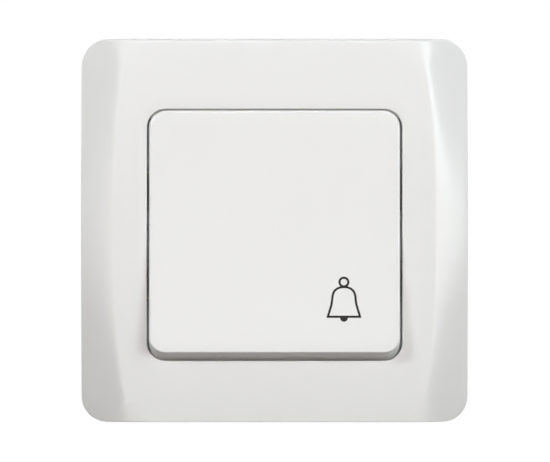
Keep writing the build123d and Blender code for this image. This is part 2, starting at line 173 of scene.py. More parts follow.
@dataclass(frozen=True)
class Ray:
    """One line that crosses all the rings of a rounded rectangle, from the inside to the outside."""

    quarter: int
    angle: float
    along: float

    @property
    def normal(self) -> Vector:
        """Direction in which the rings' edge faces here."""
        return Vector((cos(self.angle), sin(self.angle)))

    @property
    def underside(self) -> float:
        """How squarely the rings' edge faces down here, from 0 to 1."""
        return max(0.0, -self.normal.y) ** 2

    def at(self, half_width: float, low: float, high: float, corner: float) -> Vector:
        """Find where the ray meets one ring.

        Args:
            half_width: Half of the ring's width.
            low: Height of its lower edge.
            high: Height of its upper edge.
            corner: Radius of its corners.

        Returns:
            The place in the wall's plan.
        """

        def arc_point(quarter: int, angle: float) -> Vector:
            """Find a point on one of the four corners.

            Args:
                quarter: The corner, counted from the upper right one.
                angle: The direction from the corner's middle.

            Returns:
                The point in the wall's plan.
            """
            middle_x = (half_width - corner) * (1 if quarter % 4 in (0, 3) else -1)
            middle_up = high - corner if quarter % 4 in (0, 1) else low + corner
            return Vector((middle_x + corner * cos(angle), middle_up + corner * sin(angle)))

        here = arc_point(self.quarter, self.angle)
        return here.lerp(arc_point(self.quarter + 1, self.angle), self.along)


def make_rays(corner: int, level: int, upright: int) -> tuple[Ray, ...]:
    """Lay the rays of a ring round its four corners and sides.

    Args:
        corner: Chords in each corner.
        level: Parts of the upper and lower sides.
        upright: Parts of the left and right sides.

    Returns:
        The rays in order, from the right-hand end of the upper right corner.
    """
    rays = []
    for quarter in range(4):
        last = (quarter + 1) * pi / 2
        rays += [Ray(quarter, angle, 0.0) for angle in steps(quarter * pi / 2, last, corner)]
        count = level if quarter % 2 == 0 else upright
        rays += [Ray(quarter, last, share) for share in steps(0.0, 1.0, count)[1:-1]]
    return tuple(rays)


def grow_ring(bm: BMesh, ring: Sequence[BMVert], places: Sequence[Vector]) -> list[BMVert]:
    """Extrude a ring of edges and move the new ring to its places.

    Args:
        bm: The mesh.
        ring: The ring's vertices, in order.
        places: Where the new ring lies.

    Returns:
        The new ring's vertices, in the same order.
    """
    edges = [bm.edges.get((vert, ring[k - 1])) for k, vert in enumerate(ring)]
    made = set(bmesh.ops.extrude_edge_only(bm, edges=edges)["geom"])
    grown = []
    for vert, place in zip(ring, places):
        twin = next(e.other_vert(vert) for e in vert.link_edges if e.other_vert(vert) in made)
        twin.co = place
        grown.append(twin)
    return grown


def skin(bm: BMesh, sections: Sequence[Sequence[Vector]]) -> None:
    """Skin a round of sections: a circle is laid on their first points and extruded from one to the next.

    Args:
        bm: The mesh.
        sections: Points of each section, all of the same number. Rings that lie on one place close there.
    """
    rings = list(zip(*sections))
    ring = bmesh.ops.create_circle(bm, segments=len(sections), radius=MM)["verts"]
    for vert, place in zip(ring, rings[0]):
        vert.co = place
    for places in rings[1:]:
        ring = grow_ring(bm, ring, places)


def around(verts: Sequence[BMVert]) -> list[Any]:
    """Gather what lies round some vertices.

    Args:
        verts: The vertices.

    Returns:
        Their faces and edges, each once, and the vertices themselves.
    """
    faces = dict.fromkeys(face for vert in verts for face in vert.link_faces)
    edges = dict.fromkeys(edge for vert in verts for edge in vert.link_edges)
    return [*faces, *edges, *verts]


def add_block(bm: BMesh, low: Vector, high: Vector) -> list[BMVert]:
    """Add a block between two places of the scene.

    Args:
        bm: The mesh.
        low: One corner.
        high: The opposite corner.

    Returns:
        The block's vertices.
    """
    verts = bmesh.ops.create_cube(bm, size=1.0)["verts"]
    size = Vector(abs(b - a) for a, b in zip(low, high))
    shape = Matrix.Translation((low + high) / 2) @ Matrix.Diagonal((*size, 1.0))
    bmesh.ops.transform(bm, matrix=shape, verts=verts)
    return verts


def to_object(bm: BMesh, name: str, crisp: float = 30.0) -> bpy.types.Object:
    """Close a mesh, shade it and make it an object at the origin.

    Args:
        bm: The mesh, which is freed.
        name: Name of the piece.
        crisp: Edges that turn by more than this many degrees stay sharp.

    Returns:
        The object.
    """
    bmesh.ops.remove_doubles(bm, verts=bm.verts[:], dist=WELD)
    bmesh.ops.dissolve_degenerate(bm, edges=bm.edges[:], dist=WELD)
    bmesh.ops.recalc_face_normals(bm, faces=bm.faces[:])
    for face in bm.faces:
        face.smooth = True
    for edge in bm.edges:
        edge.smooth = edge.calc_face_angle(0.0) < radians(crisp)
    mesh = bpy.data.meshes.new(name)
    bm.to_mesh(mesh)
    bm.free()
    made = bpy.data.objects.new(name, mesh)
    bpy.context.collection.objects.link(made)
    return made


def per_metre(width_mm: float) -> float:
    """Turn the real width of a pattern's patch into its texture's scale."""
    return 1 / (width_mm * MM)


def linear(colour: str) -> tuple[float, float, float, float]:
    """Turn an sRGB hex colour into linear light.

    Args:
        colour: The colour, as "#RRGGBB".

    Returns:
        Red, green, blue and a full alpha.
    """
    parts = [int(colour[k : k + 2], 16) / 255 for k in (1, 3, 5)]
    red, green, blue = (p / 12.92 if p <= 0.04045 else ((p + 0.055) / 1.055) ** 2.4 for p in parts)
    return (red, green, blue, 1.0)


def add_node(
    tree: bpy.types.NodeTree,
    kind: str,
    settings: dict[Any, Any] | None = None,
    links: dict[Any, bpy.types.NodeSocket] | None = None,
) -> bpy.types.Node:
    """Add one node with its settings and links.

    Args:
        tree: Where the node goes.
        kind: The node's type.
        settings: Values for inputs, by name or number, or for the node's own options.
        links: Sockets to link to inputs, by name or number.

    Returns:
        The node.
    """
    node = tree.nodes.new(kind)
    for key, value in (settings or {}).items():
        if isinstance(key, int) or key in node.inputs:
            node.inputs[key].default_value = value
        else:
            setattr(node, key, value)
    for key, socket in (links or {}).items():
        tree.links.new(socket, node.inputs[key])
    return node


@dataclass(frozen=True)
class Finish:
    """A material as it was made: two near colours that drift, an uneven gloss and a fine relief."""

    name: str
    colour: str
    drift_colour: str
    drift_mm: float
    gloss: tuple[float, float]
    gloss_mm: float
    relief_mm: float
    relief_depth_mm: float
    metallic: float = 0.0
    ior: float | None = 1.5
    grain: tuple[float, float, float] = (1.0, 1.0, 1.0)
    drift_detail: ClassVar[float] = 3.0
    fine_detail: ClassVar[float] = 2.0

    def relief(self, tree: bpy.types.NodeTree, where: bpy.types.NodeSocket) -> bpy.types.NodeSocket:
        """Give the height pattern of the surface: a fine noise, drawn out along the grain.

        Args:
            tree: The material's nodes.
            where: Coordinates in metres.

        Returns:
            The height.
        """
        turned = add_node(tree, "ShaderNodeMapping", {"Scale": self.grain}, {"Vector": where})
        grit = add_node(
            tree,
            "ShaderNodeTexNoise",
            {"Scale": per_metre(self.relief_mm), "Detail": self.fine_detail},
            {"Vector": turned.outputs[0]},
        )
        return grit.outputs[0]

    def material(self) -> bpy.types.Material:
        """Make the material, or find it where it is made already.

        Returns:
            The material.
        """
        made = bpy.data.materials.get(self.name)
        if made:
            return made
        made = bpy.data.materials.new(self.name)
        made.use_nodes = True
        made.diffuse_color = linear(self.colour)
        tree = made.node_tree
        tree.nodes.clear()
        where = add_node(tree, "ShaderNodeTexCoord").outputs["Object"]
        clouds = add_node(
            tree,
            "ShaderNodeTexNoise",
            {"Scale": per_metre(self.drift_mm), "Detail": self.drift_detail},
            {"Vector": where},
        )
        drift = add_node(
            tree,
            "ShaderNodeMix",
            {"data_type": "RGBA", 6: linear(self.colour), 7: linear(self.drift_colour)},
            {0: clouds.outputs[0]},
        )
        patches = add_node(
            tree,
            "ShaderNodeTexNoise",
            {"Scale": per_metre(self.gloss_mm), "Detail": self.fine_detail},
            {"Vector": where},
        )
        gloss = add_node(
            tree,
            "ShaderNodeMapRange",
            {1: NOISE_LOW, 2: NOISE_HIGH, 3: self.gloss[0], 4: self.gloss[1]},
            {0: patches.outputs[0]},
        )
        bump = add_node(
            tree,
            "ShaderNodeBump",
            {"Strength": 1.0, "Distance": self.relief_depth_mm * MM},
            {"Height": self.relief(tree, where)},
        )
        settings: dict[str, Any] = {"Metallic": self.metallic}
        if self.ior is not None:
            settings["IOR"] = self.ior
        shader = add_node(
            tree,
            "ShaderNodeBsdfPrincipled",
            settings,
            {"Base Color": drift.outputs[2], "Roughness": gloss.outputs[0], "Normal": bump.outputs[0]},
        )
        add_node(tree, "ShaderNodeOutputMaterial", {}, {"Surface": shader.outputs[0]})
        return made


@dataclass(frozen=True)
class MilledFinish(Finish):
    """A metal with the close, even lines that a cutter leaves."""

    unevenness: ClassVar[float] = 2.0

    def relief(self, tree: bpy.types.NodeTree, where: bpy.types.NodeSocket) -> bpy.types.NodeSocket:
        """Give the height pattern of the surface: cutter lines, a little broken.

        Args:
            tree: The material's nodes.
            where: Coordinates in metres.

        Returns:
            The height.
        """
        turned = add_node(tree, "ShaderNodeMapping", {"Scale": self.grain}, {"Vector": where})
        lines = add_node(
            tree,
            "ShaderNodeTexWave",
            {
                "Scale": WAVE_BAND / (self.relief_mm * MM),
                "Distortion": self.unevenness,
                "Detail": self.fine_detail,
                "bands_direction": "Z",
            },
            {"Vector": turned.outputs[0]},
        )
        return lines.outputs[1]


# Moulded ABS, satin: an even soft white, with the faint orange peel of the mould's spark-eroded wall.
WHITE_ABS = Finish(
    "moulded_white_abs",
    "#EDECEA",
    "#E9E8E5",
    drift_mm=18.0,
    gloss=(0.30, 0.38),
    gloss_mm=6.0,
    relief_mm=0.45,
    relief_depth_mm=0.0012,
    ior=1.54,
)
# Moulded polyamide: duller and creamier than the ABS, with flow marks that drift across it.
WHITE_POLYAMIDE = Finish(
    "moulded_white_polyamide",
    "#DEDBD3",
    "#D3CFC5",
    drift_mm=7.0,
    gloss=(0.48, 0.62),
    gloss_mm=3.0,
    relief_mm=0.35,
    relief_depth_mm=0.004,
    ior=1.53,
)
# Glass-filled polyamide: grey, matt and slightly speckled by the fibres near its skin.
GREY_POLYAMIDE = Finish(
    "moulded_grey_polyamide",
    "#9FA09E",
    "#8F908F",
    drift_mm=2.2,
    gloss=(0.45, 0.66),
    gloss_mm=1.6,
    relief_mm=0.30,
    relief_depth_mm=0.006,
    ior=1.53,
)
# Zinc-plated strip steel: cold grey, clouded by the plating, with fine rolling lines along the sheet.
ZINC_STEEL = Finish(
    "zinc_plated_steel",
    "#B4B8BD",
    "#989DA4",
    drift_mm=2.6,
    gloss=(0.26, 0.42),
    gloss_mm=2.0,
    relief_mm=0.25,
    relief_depth_mm=0.0022,
    metallic=1.0,
    ior=None,
    grain=(0.06, 1.0, 1.0),
)
# Bright zinc on small screws: paler and smoother than the strip, clouded by handling.
ZINC_SCREW = Finish(
    "bright_zinc_screw",
    "#C3C5C6",
    "#A6A8A6",
    drift_mm=0.9,
    gloss=(0.18, 0.36),
    gloss_mm=0.7,
    relief_mm=0.20,
    relief_depth_mm=0.003,
    metallic=1.0,
    ior=None,
)
# Drawn spring wire: dark bright steel with lines along the wire.
SPRING_STEEL = Finish(
    "drawn_spring_steel",
    "#8C8E92",
    "#74767B",
    drift_mm=0.8,
    gloss=(0.20, 0.36),
    gloss_mm=0.6,
    relief_mm=0.10,
    relief_depth_mm=0.002,
    metallic=1.0,
    ior=None,
    grain=(1.0, 6.0, 1.0),
)
# Machined brass: warm yellow, with the cutter's lines across it. Real lines lie about 0.05 mm apart: they are
# drawn coarser here, so that they show.
BRASS = MilledFinish(
    "machined_brass",
    "#C8A05A",
    "#B08744",
    drift_mm=1.8,
    gloss=(0.22, 0.40),
    gloss_mm=1.2,
    relief_mm=0.25,
    relief_depth_mm=0.004,
    metallic=1.0,
    ior=None,
)
# Silver alloy of contact tips: pale, bright and slightly clouded.
SILVER = Finish(
    "silver_contact_alloy",
    "#D9D9D6",
    "#BFC0BF",
    drift_mm=0.6,
    gloss=(0.16, 0.34),
    gloss_mm=0.5,
    relief_mm=0.12,
    relief_depth_mm=0.002,
    metallic=1.0,
    ior=None,
)
# Pad-printed ink: a brown black, dull, with small thin places where the pad lifted.
INK = Finish(
    "pad_printed_ink",
    "#0D0807",
    "#18110E",
    drift_mm=0.35,
    gloss=(0.5, 0.66),
    gloss_mm=0.5,
    relief_mm=0.12,
    relief_depth_mm=0.0015,
    ior=1.35,
)


def dress(
    piece: bpy.types.Object, finish: Finish, body: Body, nodes: Iterable[str] = ()
) -> bpy.types.Object:
    """Give a piece its finish, its body and the solids that it stands for.

    Args:
        piece: The piece.
        finish: Its material.
        body: What it moves with.
        nodes: The solids that it replaces.

    Returns:
        The piece.
    """
    piece.data.materials.clear()
    piece.data.materials.append(finish.material())
    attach(piece, body.value)
    if nodes:
        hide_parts(*nodes)
    LOG.info("%s: %d faces", piece.name, len(piece.data.polygons))
    return piece


@dataclass
class CoverFrame:
    """Square cover frame: bent-back wings, the rocker's opening, a collar behind it and four hooks."""

    half_width: float = 42.0
    low: float = -40.5
    high: float = 42.5
    depth: float = 9.5
    corner: float = 5.5
    wall: float = 2.0
    # The rim is soft, but crisp along the bottom.
    rim_radius: float = 0.8
    rim_crisp: float = 0.15
    foot_radius: float = 0.25
    # A wing leaves its crease at the near slope and bends to the far one, slowly at mid height and soon at
    # the ends.
    wing_width: float = 7.1
    wing_edge: float = 3.0
    slope_near: float = tan(radians(15.5))
    slope_far: float = tan(radians(36.0))
    bend_middle: float = 6.5
    bend_end: float = 0.8
    bend_fade: float = 0.38
    wing_back: float = 1.6
    # The crease bows inwards towards both ends, and is rolled more softly there.
    crease_pull: float = 3.6
    crease_power: float = 2.6
    crease_roll: float = 0.2
    crease_end_roll: float = 0.7
    roll_power: int = 3
    crease_bounds: tuple[float, float] = (0.32, 0.68)
    crease_rounds: int = 8
    least_run: float = 0.5
    near_crease: tuple[float, ...] = (-1.6, -0.7, -0.3, -0.1, 0.0, 0.1, 0.3, 0.7, 1.6)
    opening_half: float = 27.65
    opening_drum: float = 29.247
    opening_corner: float = 4.0
    lip_radius: float = 0.25
    collar_step: float = 1.0
    collar_wall: float = 1.6
    collar_low: float = 3.5
    hook_in: float = 31.15
    hook_thick: float = 1.4
    hook_width: float = 6.0
    hook_nose: float = 1.0
    hook_up: float = 10.0
    hook_low: float = 1.3
    hook_nose_top: float = 2.0
    # How many parts each stretch of the section has.
    opening_steps: int = 2
    lip_steps: int = 5
    plate_steps: int = 6
    wing_steps: int = 9
    rim_steps: int = 6
    side_steps: int = 3
    back_steps: int = 8
    rays: tuple[Ray, ...] = field(default_factory=lambda: make_rays(12, 30, 48))

    @property
    def inside(self) -> float:
        """How far out the plate's back lies."""
        return self.depth - self.wall

    def part_way(self, up: float) -> float:
        """How far a height lies from the frame's middle towards its end, from 0 to 1."""
        middle = (self.low + self.high) / 2
        return min(1.0, abs(up - middle) / (self.high - middle))

    def crease(self, up: float) -> float:
        """How far from the middle line the crease lies at a height."""
        return self.half_width - self.wing_width - self.crease_pull * self.part_way(up) ** self.crease_power

    def front(self, plan: Vector) -> Vector:
        """Find the place on the front that lies over a point of the plan.

        Args:
            plan: The point, in wall millimetres.

        Returns:
            The place, on the flat plate or on a wing that bows back from its crease.
        """
        share = self.part_way(plan.y)
        roll = self.crease_roll + (self.crease_end_roll - self.crease_roll) * share**self.roll_power
        past = abs(plan.x) - self.crease(plan.y)
        past = (past + hypot(past, roll)) / 2
        bend = self.bend_end + (self.bend_middle - self.bend_end) * exp(-((share / self.bend_fade) ** 2))
        fall = self.slope_far * past - (self.slope_far - self.slope_near) * bend * (1 - exp(-past / bend))
        return lift(plan, self.depth - fall)

    def opening(self, ray: Ray, out: float) -> Vector:
        """Find where a ray meets the wall of the opening, which is round about the rocker's pivot."""
        half = sqrt(self.opening_drum**2 - (out - PIVOT_OUT) ** 2)
        return lift(ray.at(self.opening_half, -half, half, self.opening_corner), out)

    def collar(self, ray: Ray, step: float, out: float) -> Vector:
        """Find where a ray meets a wall of the collar.

        Args:
            ray: The ray.
            step: How far outside the opening the wall lies.
            out: How far out of the wall the place lies.

        Returns:
            The place.
        """
        half = self.opening_drum + step
        corner = self.opening_corner + step - self.collar_step
        return lift(ray.at(self.opening_half + step, -half, half, corner), out)

    def back(self, plan: Vector) -> Vector:
        """Find the place on the plate's back, which slopes towards the wall behind each wing.

        Args:
            plan: The point that it lies over, in wall millimetres.

        Returns:
            The place.
        """
        first = self.half_width - self.wing_width - self.wing_back
        last = self.half_width - self.wall
        past = max(0.0, (abs(plan.x) - first) / (last - first))
        return lift(plan, self.inside + (self.wing_edge - self.wing_back - self.inside) * past)

    def crease_share(self, start: Vector, end: Vector) -> float:
        """Find how far along a ray the crease lies.

        Args:
            start: Plan of the ray's inner end.
            end: Plan of its outer end.

        Returns:
            The share of the ray, kept near its middle third where the crease leaves the ray.
        """
        share = 0.5
        run = abs(end.x) - abs(start.x)
        least, most = self.crease_bounds
        for _ in range(self.crease_rounds):
            here = start.lerp(end, share)
            share = (self.crease(here.y) - abs(start.x)) / run if run > self.least_run else 1.0
            share = min(most, max(least, share))
        return share

    def opening_section(self, ray: Ray) -> list[Vector]:
        """Draw the collar's inner wall, the opening and its lip along one ray.

        Args:
            ray: The ray.

        Returns:
            Points from the collar's foot to the lip's outer end.
        """
        points = [self.collar(ray, self.collar_step, out) for out in (self.collar_low, self.inside)]
        outs = steps(self.inside, self.depth - 2 * self.lip_radius, self.opening_steps)
        points += [self.opening(ray, out) for out in outs]
        lip = self.opening(ray, self.depth)
        inwards = self.opening(ray, self.depth - self.lip_radius) - lip
        return points + round_corner(lip, inwards, lift(ray.normal, 0.0), self.lip_radius, self.lip_steps)

    def front_section(self, ray: Ray, start: Vector) -> list[Vector]:
        """Draw the plate, the wing, the rim and the side along one ray.

        Args:
            ray: The ray.
            start: Plan of the lip's outer end.

        Returns:
            Points from the lip over the crease and the rim to the foot on the wall.
        """
        edge_plan = ray.at(self.half_width, self.low, self.high, self.corner)
        edge = self.front(edge_plan)
        rim_radius = self.rim_radius + (self.rim_crisp - self.rim_radius) * ray.underside
        along = self.front(edge_plan - ray.normal * (rim_radius / 2)) - edge
        rim = round_corner(edge, along, spot(0, 0, -1), rim_radius, self.rim_steps)
        end = flat(rim[0])
        share, length = self.crease_share(start, end), (end - start).length
        bend = [share + past / length for past in self.near_crease]
        plate = steps(0.0, bend[0], self.plate_steps)[1:-1]
        wing = steps(bend[-1], 1.0, self.wing_steps)[1:-1]
        points = [self.front(start.lerp(end, part)) for part in plate + bend + wing] + rim
        outs = steps(-rim[-1].y / MM, self.foot_radius, self.side_steps)[1:-1]
        points += [lift(edge_plan, out) for out in outs]
        foot, inwards = lift(edge_plan, 0.0), -lift(ray.normal, 0.0)
        return points + round_corner(foot, spot(0, 0, 1), inwards, self.foot_radius, self.side_steps)

    def back_section(self, ray: Ray) -> list[Vector]:
        """Draw the side's inner wall, the plate's back and the collar's outer wall along one ray.

        Args:
            ray: The ray.

        Returns:
            Points from the wall to the collar's foot.
        """
        inner = ray.at(
            self.half_width - self.wall, self.low + self.wall, self.high - self.wall, self.corner - self.wall
        )
        outside = self.collar_step + self.collar_wall
        root = self.collar(ray, outside, self.inside)
        shares = steps(0.0, 1.0, self.back_steps)[:-1]
        points = [lift(inner, 0.0)] + [self.back(inner.lerp(flat(root), part)) for part in shares]
        return points + [root, self.collar(ray, outside, self.collar_low)]

    def section(self, ray: Ray) -> list[Vector]:
        """Draw the frame's whole wall along one ray.

        Args:
            ray: The ray.

        Returns:
            Points from the collar's foot over the front, round the back and to the foot again.
        """
        points = self.opening_section(ray)
        points += self.front_section(ray, flat(points[-1])) + self.back_section(ray)
        return [*points, points[0]]

    def is_nose_root(self, face: BMFace, leg_in: float, up: float) -> bool:
        """Tell whether the nose of a hook grows from a face.

        Args:
            face: The face.
            leg_in: How far to the side the leg's inner face lies.
            up: Height of the leg's middle.

        Returns:
            Whether it is the foot of that leg's inner face.
        """
        middle = face.calc_center_median()
        on_leg = abs(middle.x - leg_in * MM) < NEAR and abs(middle.z - up * MM) < NEAR
        return on_leg and -middle.y < self.hook_nose_top * MM

    def add_hooks(self, bm: BMesh) -> None:
        """Add the four hooks that snap on the catches, each a leg with a nose at its foot.

        Args:
            bm: The frame's mesh.
        """
        for side in (-1, 1):
            leg_in, leg_out = side * self.hook_in, side * (self.hook_in + self.hook_thick)
            for up in (-self.hook_up, self.hook_up):
                low, high = up - self.hook_width / 2, up + self.hook_width / 2
                leg = add_block(bm, spot(leg_in, low, self.hook_low), spot(leg_out, high, self.inside + SUNK))
                cut = spot(0, 0, self.hook_nose_top)
                bmesh.ops.bisect_plane(bm, geom=around(leg), plane_co=cut, plane_no=(0, 1, 0))
                roots = [face for face in bm.faces if self.is_nose_root(face, leg_in, up)]
                grown = bmesh.ops.extrude_discrete_faces(bm, faces=roots)["faces"]
                verts = [vert for face in grown for vert in face.verts]
                bmesh.ops.translate(bm, vec=spot(-side * self.hook_nose, 0, 0), verts=verts)

    def build(self) -> bpy.types.Object:
        """Build the frame and dress it.

        Returns:
            The frame.
        """
        bm = bmesh.new()
        skin(bm, [self.section(ray) for ray in self.rays])
        self.add_hooks(bm)
        frame = to_object(bm, "cover_frame_shell")
        return dress(frame, WHITE_ABS, Body.INSERT, ["cover_frame"])


@dataclass
class RockerCap:
    """Rocker shell with a hollowed face, proud at its lower edge, and with ribs and hooks behind it."""

    half_width: float = 27.15
    drum: float = 28.897
    corner: float = 3.65
    wall: float = 1.8
    face_thick: float = 2.0
    # The edge is rounded all round, and less along the bottom.
    edge_radius: float = 0.55
    crisp_radius: float = 0.3
    face_radius: float = 452.0
    face_low: float = 9.375
    face_top_up: float = 26.763
    skirt_low: float = 4.57
    skirt_edge: float = 0.2
    cavity_corner: float = 0.6
    lever_half: float = 13.0
    lever_high: float = 7.25
    rib_thick: float = 1.2
    rib_up: float = 11.2
    hook_in: float = 13.15
    hook_thick: float = 1.4
    hook_width: float = 5.0
    hook_up: float = 6.0
    hook_low: float = 4.6
    hook_nose: float = 0.75
    hook_nose_high: float = 0.7
    # How many parts each stretch of the section has, and how often a meeting is worked out anew.
    face_steps: int = 14
    edge_steps: int = 6
    skirt_steps: int = 6
    cavity_steps: int = 4
    ceiling_steps: int = 6
    rounds: int = 12
    rays: tuple[Ray, ...] = field(default_factory=lambda: make_rays(12, 36, 36))
    middle: ClassVar[Vector] = Vector((0.0, 0.7))

    def face(self, up: float, behind: float = 0.0) -> float:
        """How far out the hollow face lies at a height, or a layer behind it."""
        return self.face_low + self.face_radius - sqrt(
            (self.face_radius + behind) ** 2 - (up - self.face_top_up) ** 2
        )

    def wall_place(self, ray: Ray, out: float, behind: float = 0.0) -> Vector:
        """Find where a ray meets the skirt's outer wall, or a layer behind it.

        Args:
            ray: The ray.
            out: How far out of the wall the place lies.
            behind: How far behind the outer wall the layer lies.

        Returns:
            The place.
        """
        half = sqrt((self.drum - behind) ** 2 - (out - PIVOT_OUT) ** 2)
        corner = self.corner if behind == 0 else self.cavity_corner
        return lift(ray.at(self.half_width - behind, -half, half, corner), out)

    def meeting(self, ray: Ray, wall: float, face: float) -> Vector:
        """Find where a ray's wall meets the face, or the layers behind them.

        Args:
            ray: The ray.
            wall: How far behind the outer wall the layer lies.
            face: How far behind the face the layer lies.

        Returns:
            The place.
        """
        out = self.face_low
        for _ in range(self.rounds):
            out = self.face(flat(self.wall_place(ray, out, wall)).y, face)
        return self.wall_place(ray, out, wall)

    def section(self, ray: Ray) -> list[Vector]:
        """Draw the shell along one ray.

        Args:
            ray: The ray.

        Returns:
            Points from the face's middle over its edge, down the skirt and up inside to the middle again.
        """
        edge = self.meeting(ray, 0.0, 0.0)
        radius = self.edge_radius + (self.crisp_radius - self.edge_radius) * ray.underside
        inset = flat(edge) - ray.normal * radius
        along = lift(inset, self.face(inset.y)) - edge
        down = self.wall_place(ray, -edge.y / MM - radius) - edge
        rounded = round_corner(edge, along, down, radius, self.edge_steps)
        end = flat(rounded[0])
        face = [self.middle.lerp(end, part) for part in steps(0.0, 1.0, self.face_steps)[:-1]]
        points = [lift(plan, self.face(plan.y)) for plan in face] + rounded
        outs = steps(-rounded[-1].y / MM, self.skirt_low + self.skirt_edge, self.skirt_steps)[1:]
        points += [self.wall_place(ray, out) for out in outs]
        foot = flat(self.wall_place(ray, self.skirt_low)) - ray.normal * self.skirt_edge
        points.append(lift(foot, self.skirt_low))
        ceiling = self.meeting(ray, self.wall, self.face_thick)
        outs = steps(self.skirt_low, -ceiling.y / MM, self.cavity_steps)
        points += [self.wall_place(ray, out, self.wall) for out in outs[:-1]]
        inner = [flat(ceiling).lerp(self.middle, part) for part in steps(0.0, 1.0, self.ceiling_steps)]
        points += [lift(plan, self.face(plan.y, self.face_thick)) for plan in inner]
        return points

    def add_back(self, bm: BMesh) -> None:
        """Add the ribs that rest on the lever and the hooks that grip its edges.

        Args:
            bm: The rocker's mesh.
        """
        half = self.lever_half - self.wall / 2
        for up in (-self.rib_up, 0.0, self.rib_up):
            top = self.face(up, self.face_thick / 2)
            low, high = up - self.rib_thick / 2, up + self.rib_thick / 2
            add_block(bm, spot(-half, low, self.lever_high), spot(half, high, top))
        nose_top = self.hook_low + self.hook_nose_high
        for side in (-1, 1):
            leg_in, leg_out = side * self.hook_in, side * (self.hook_in + self.hook_thick)
            tip = leg_in - side * self.hook_nose
            for up in (-self.hook_up, self.hook_up):
                low, high = up - self.hook_width / 2, up + self.hook_width / 2
                top = self.face(up, self.face_thick / 2)
                add_block(bm, spot(leg_in, low, self.hook_low), spot(leg_out, high, top))
                add_block(bm, spot(tip, low, self.hook_low), spot(leg_in + side * SUNK, high, nose_top))

    def build(self) -> bpy.types.Object:
        """Build the rocker and dress it.

        Returns:
            The rocker.
        """
        bm = bmesh.new()
        skin(bm, [self.section(ray) for ray in self.rays])
        self.add_back(bm)
        return dress(to_object(bm, "rocker_shell"), WHITE_ABS, Body.ROCKER, ["rocker_cap"])


@dataclass
class BellSign:
    """Printed sign of a hand bell on the rocker's lower right: ring, outline, rim line and clapper."""

    rocker: RockerCap
    x: float = 15.0
    line: float = 0.48
    proud: float = 0.012
    sunk: float = 0.02
    ring_up: float = -10.18
    ring_radius: float = 0.95
    clapper_up: float = -17.9
    clapper_radius: float = 0.84
    clapper_more: float = 0.32
    rim_steps: int = 12
    ring_steps: int = 40
    clapper_steps: int = 20
    half_outline: tuple[tuple[float, float], ...] = (
        (0.00, -11.24),
        (0.45, -11.26),
        (0.87, -11.34),
        (1.51, -11.61),
        (2.02, -12.06),
        (2.29, -12.54),
        (2.45, -13.16),
        (2.54, -13.92),
        (2.62, -14.59),
        (2.75, -15.27),
        (2.96, -15.97),
        (3.21, -16.75),
        (3.48, -17.66),
    )

    def outline(self) -> list[Vector]:
        """Give the middle line of the bell's outline.

        Returns:
            Its points, clockwise from the top.
        """
        right = [Vector((x, up)) for x, up in self.half_outline]
        left = [Vector((-point.x, point.y)) for point in reversed(right[1:])]
        rim = [right[-1].lerp(left[0], part) for part in steps(0.0, 1.0, self.rim_steps)[1:-1]]
        return [point + Vector((self.x, 0.0)) for point in right + rim + left]

    def side_of(self, path: Sequence[Vector], offset: float) -> list[Vector]:
        """Set a closed line off to one side, with mitred corners.

        Args:
            path: The line's points, clockwise.
            offset: How far outwards the new line lies.

        Returns:
            The new line's points.
        """
        moved = []
        for k, point in enumerate(path):
            before = (point - path[k - 1]).normalized()
            after = (path[(k + 1) % len(path)] - point).normalized()
            normal = Vector((-before.y, before.x)) + Vector((-after.y, after.x))
            moved.append(point + normal * (2 * offset / normal.length_squared))
        return moved

    def on_face(self, plan: Vector, above: float) -> Vector:
        """Place a point of the sign on the rocker's hollow face."""
        return lift(plan, self.rocker.face(plan.y) + above)

    def add_band(self, bm: BMesh, path: Sequence[Vector]) -> None:
        """Add a closed band of ink along a line.

        Args:
            bm: The sign's mesh.
            path: Points of the band's middle line, clockwise.
        """
        outer, inner = self.side_of(path, self.line / 2), self.side_of(path, -self.line / 2)
        sections = []
        for far, near in zip(outer, inner):
            high = [self.on_face(far, self.proud), self.on_face(near, self.proud)]
            low = [self.on_face(near, -self.sunk), self.on_face(far, -self.sunk)]
            sections.append([*high, *low, high[0]])
        skin(bm, sections)

    def add_clapper(self, bm: BMesh) -> None:
        """Add the clapper, a filled round whose top is cut off inside the rim line.

        Args:
            bm: The sign's mesh.
        """
        middle = Vector((self.x, self.clapper_up))
        arc = steps(pi - self.clapper_more, 2 * pi + self.clapper_more, self.clapper_steps)
        path = [middle + Vector((cos(a), sin(a))) * self.clapper_radius for a in arc]
        sections = [
            [
                self.on_face(middle, self.proud),
                self.on_face(point, self.proud),
                self.on_face(point, -self.sunk),
                self.on_face(middle, -self.sunk),
            ]
            for point in path
        ]
        skin(bm, sections)

    def build(self) -> bpy.types.Object:
        """Build the sign and dress it.

        Returns:
            The sign.
        """
        bm = bmesh.new()
        self.add_band(bm, self.outline())
        ring = Vector((self.x, self.ring_up))
        turns = [-2 * pi * part for part in steps(0.0, 1.0, self.ring_steps)[:-1]]
        self.add_band(bm, [ring + Vector((cos(a), sin(a))) * self.ring_radius for a in turns])
        self.add_clapper(bm)
        return dress(to_object(bm, "bell_sign_print"), INK, Body.ROCKER)


class Drive(Enum):
    """The recess in a screw's head."""

    CROSS = "cross"
    SLOT = "slot"


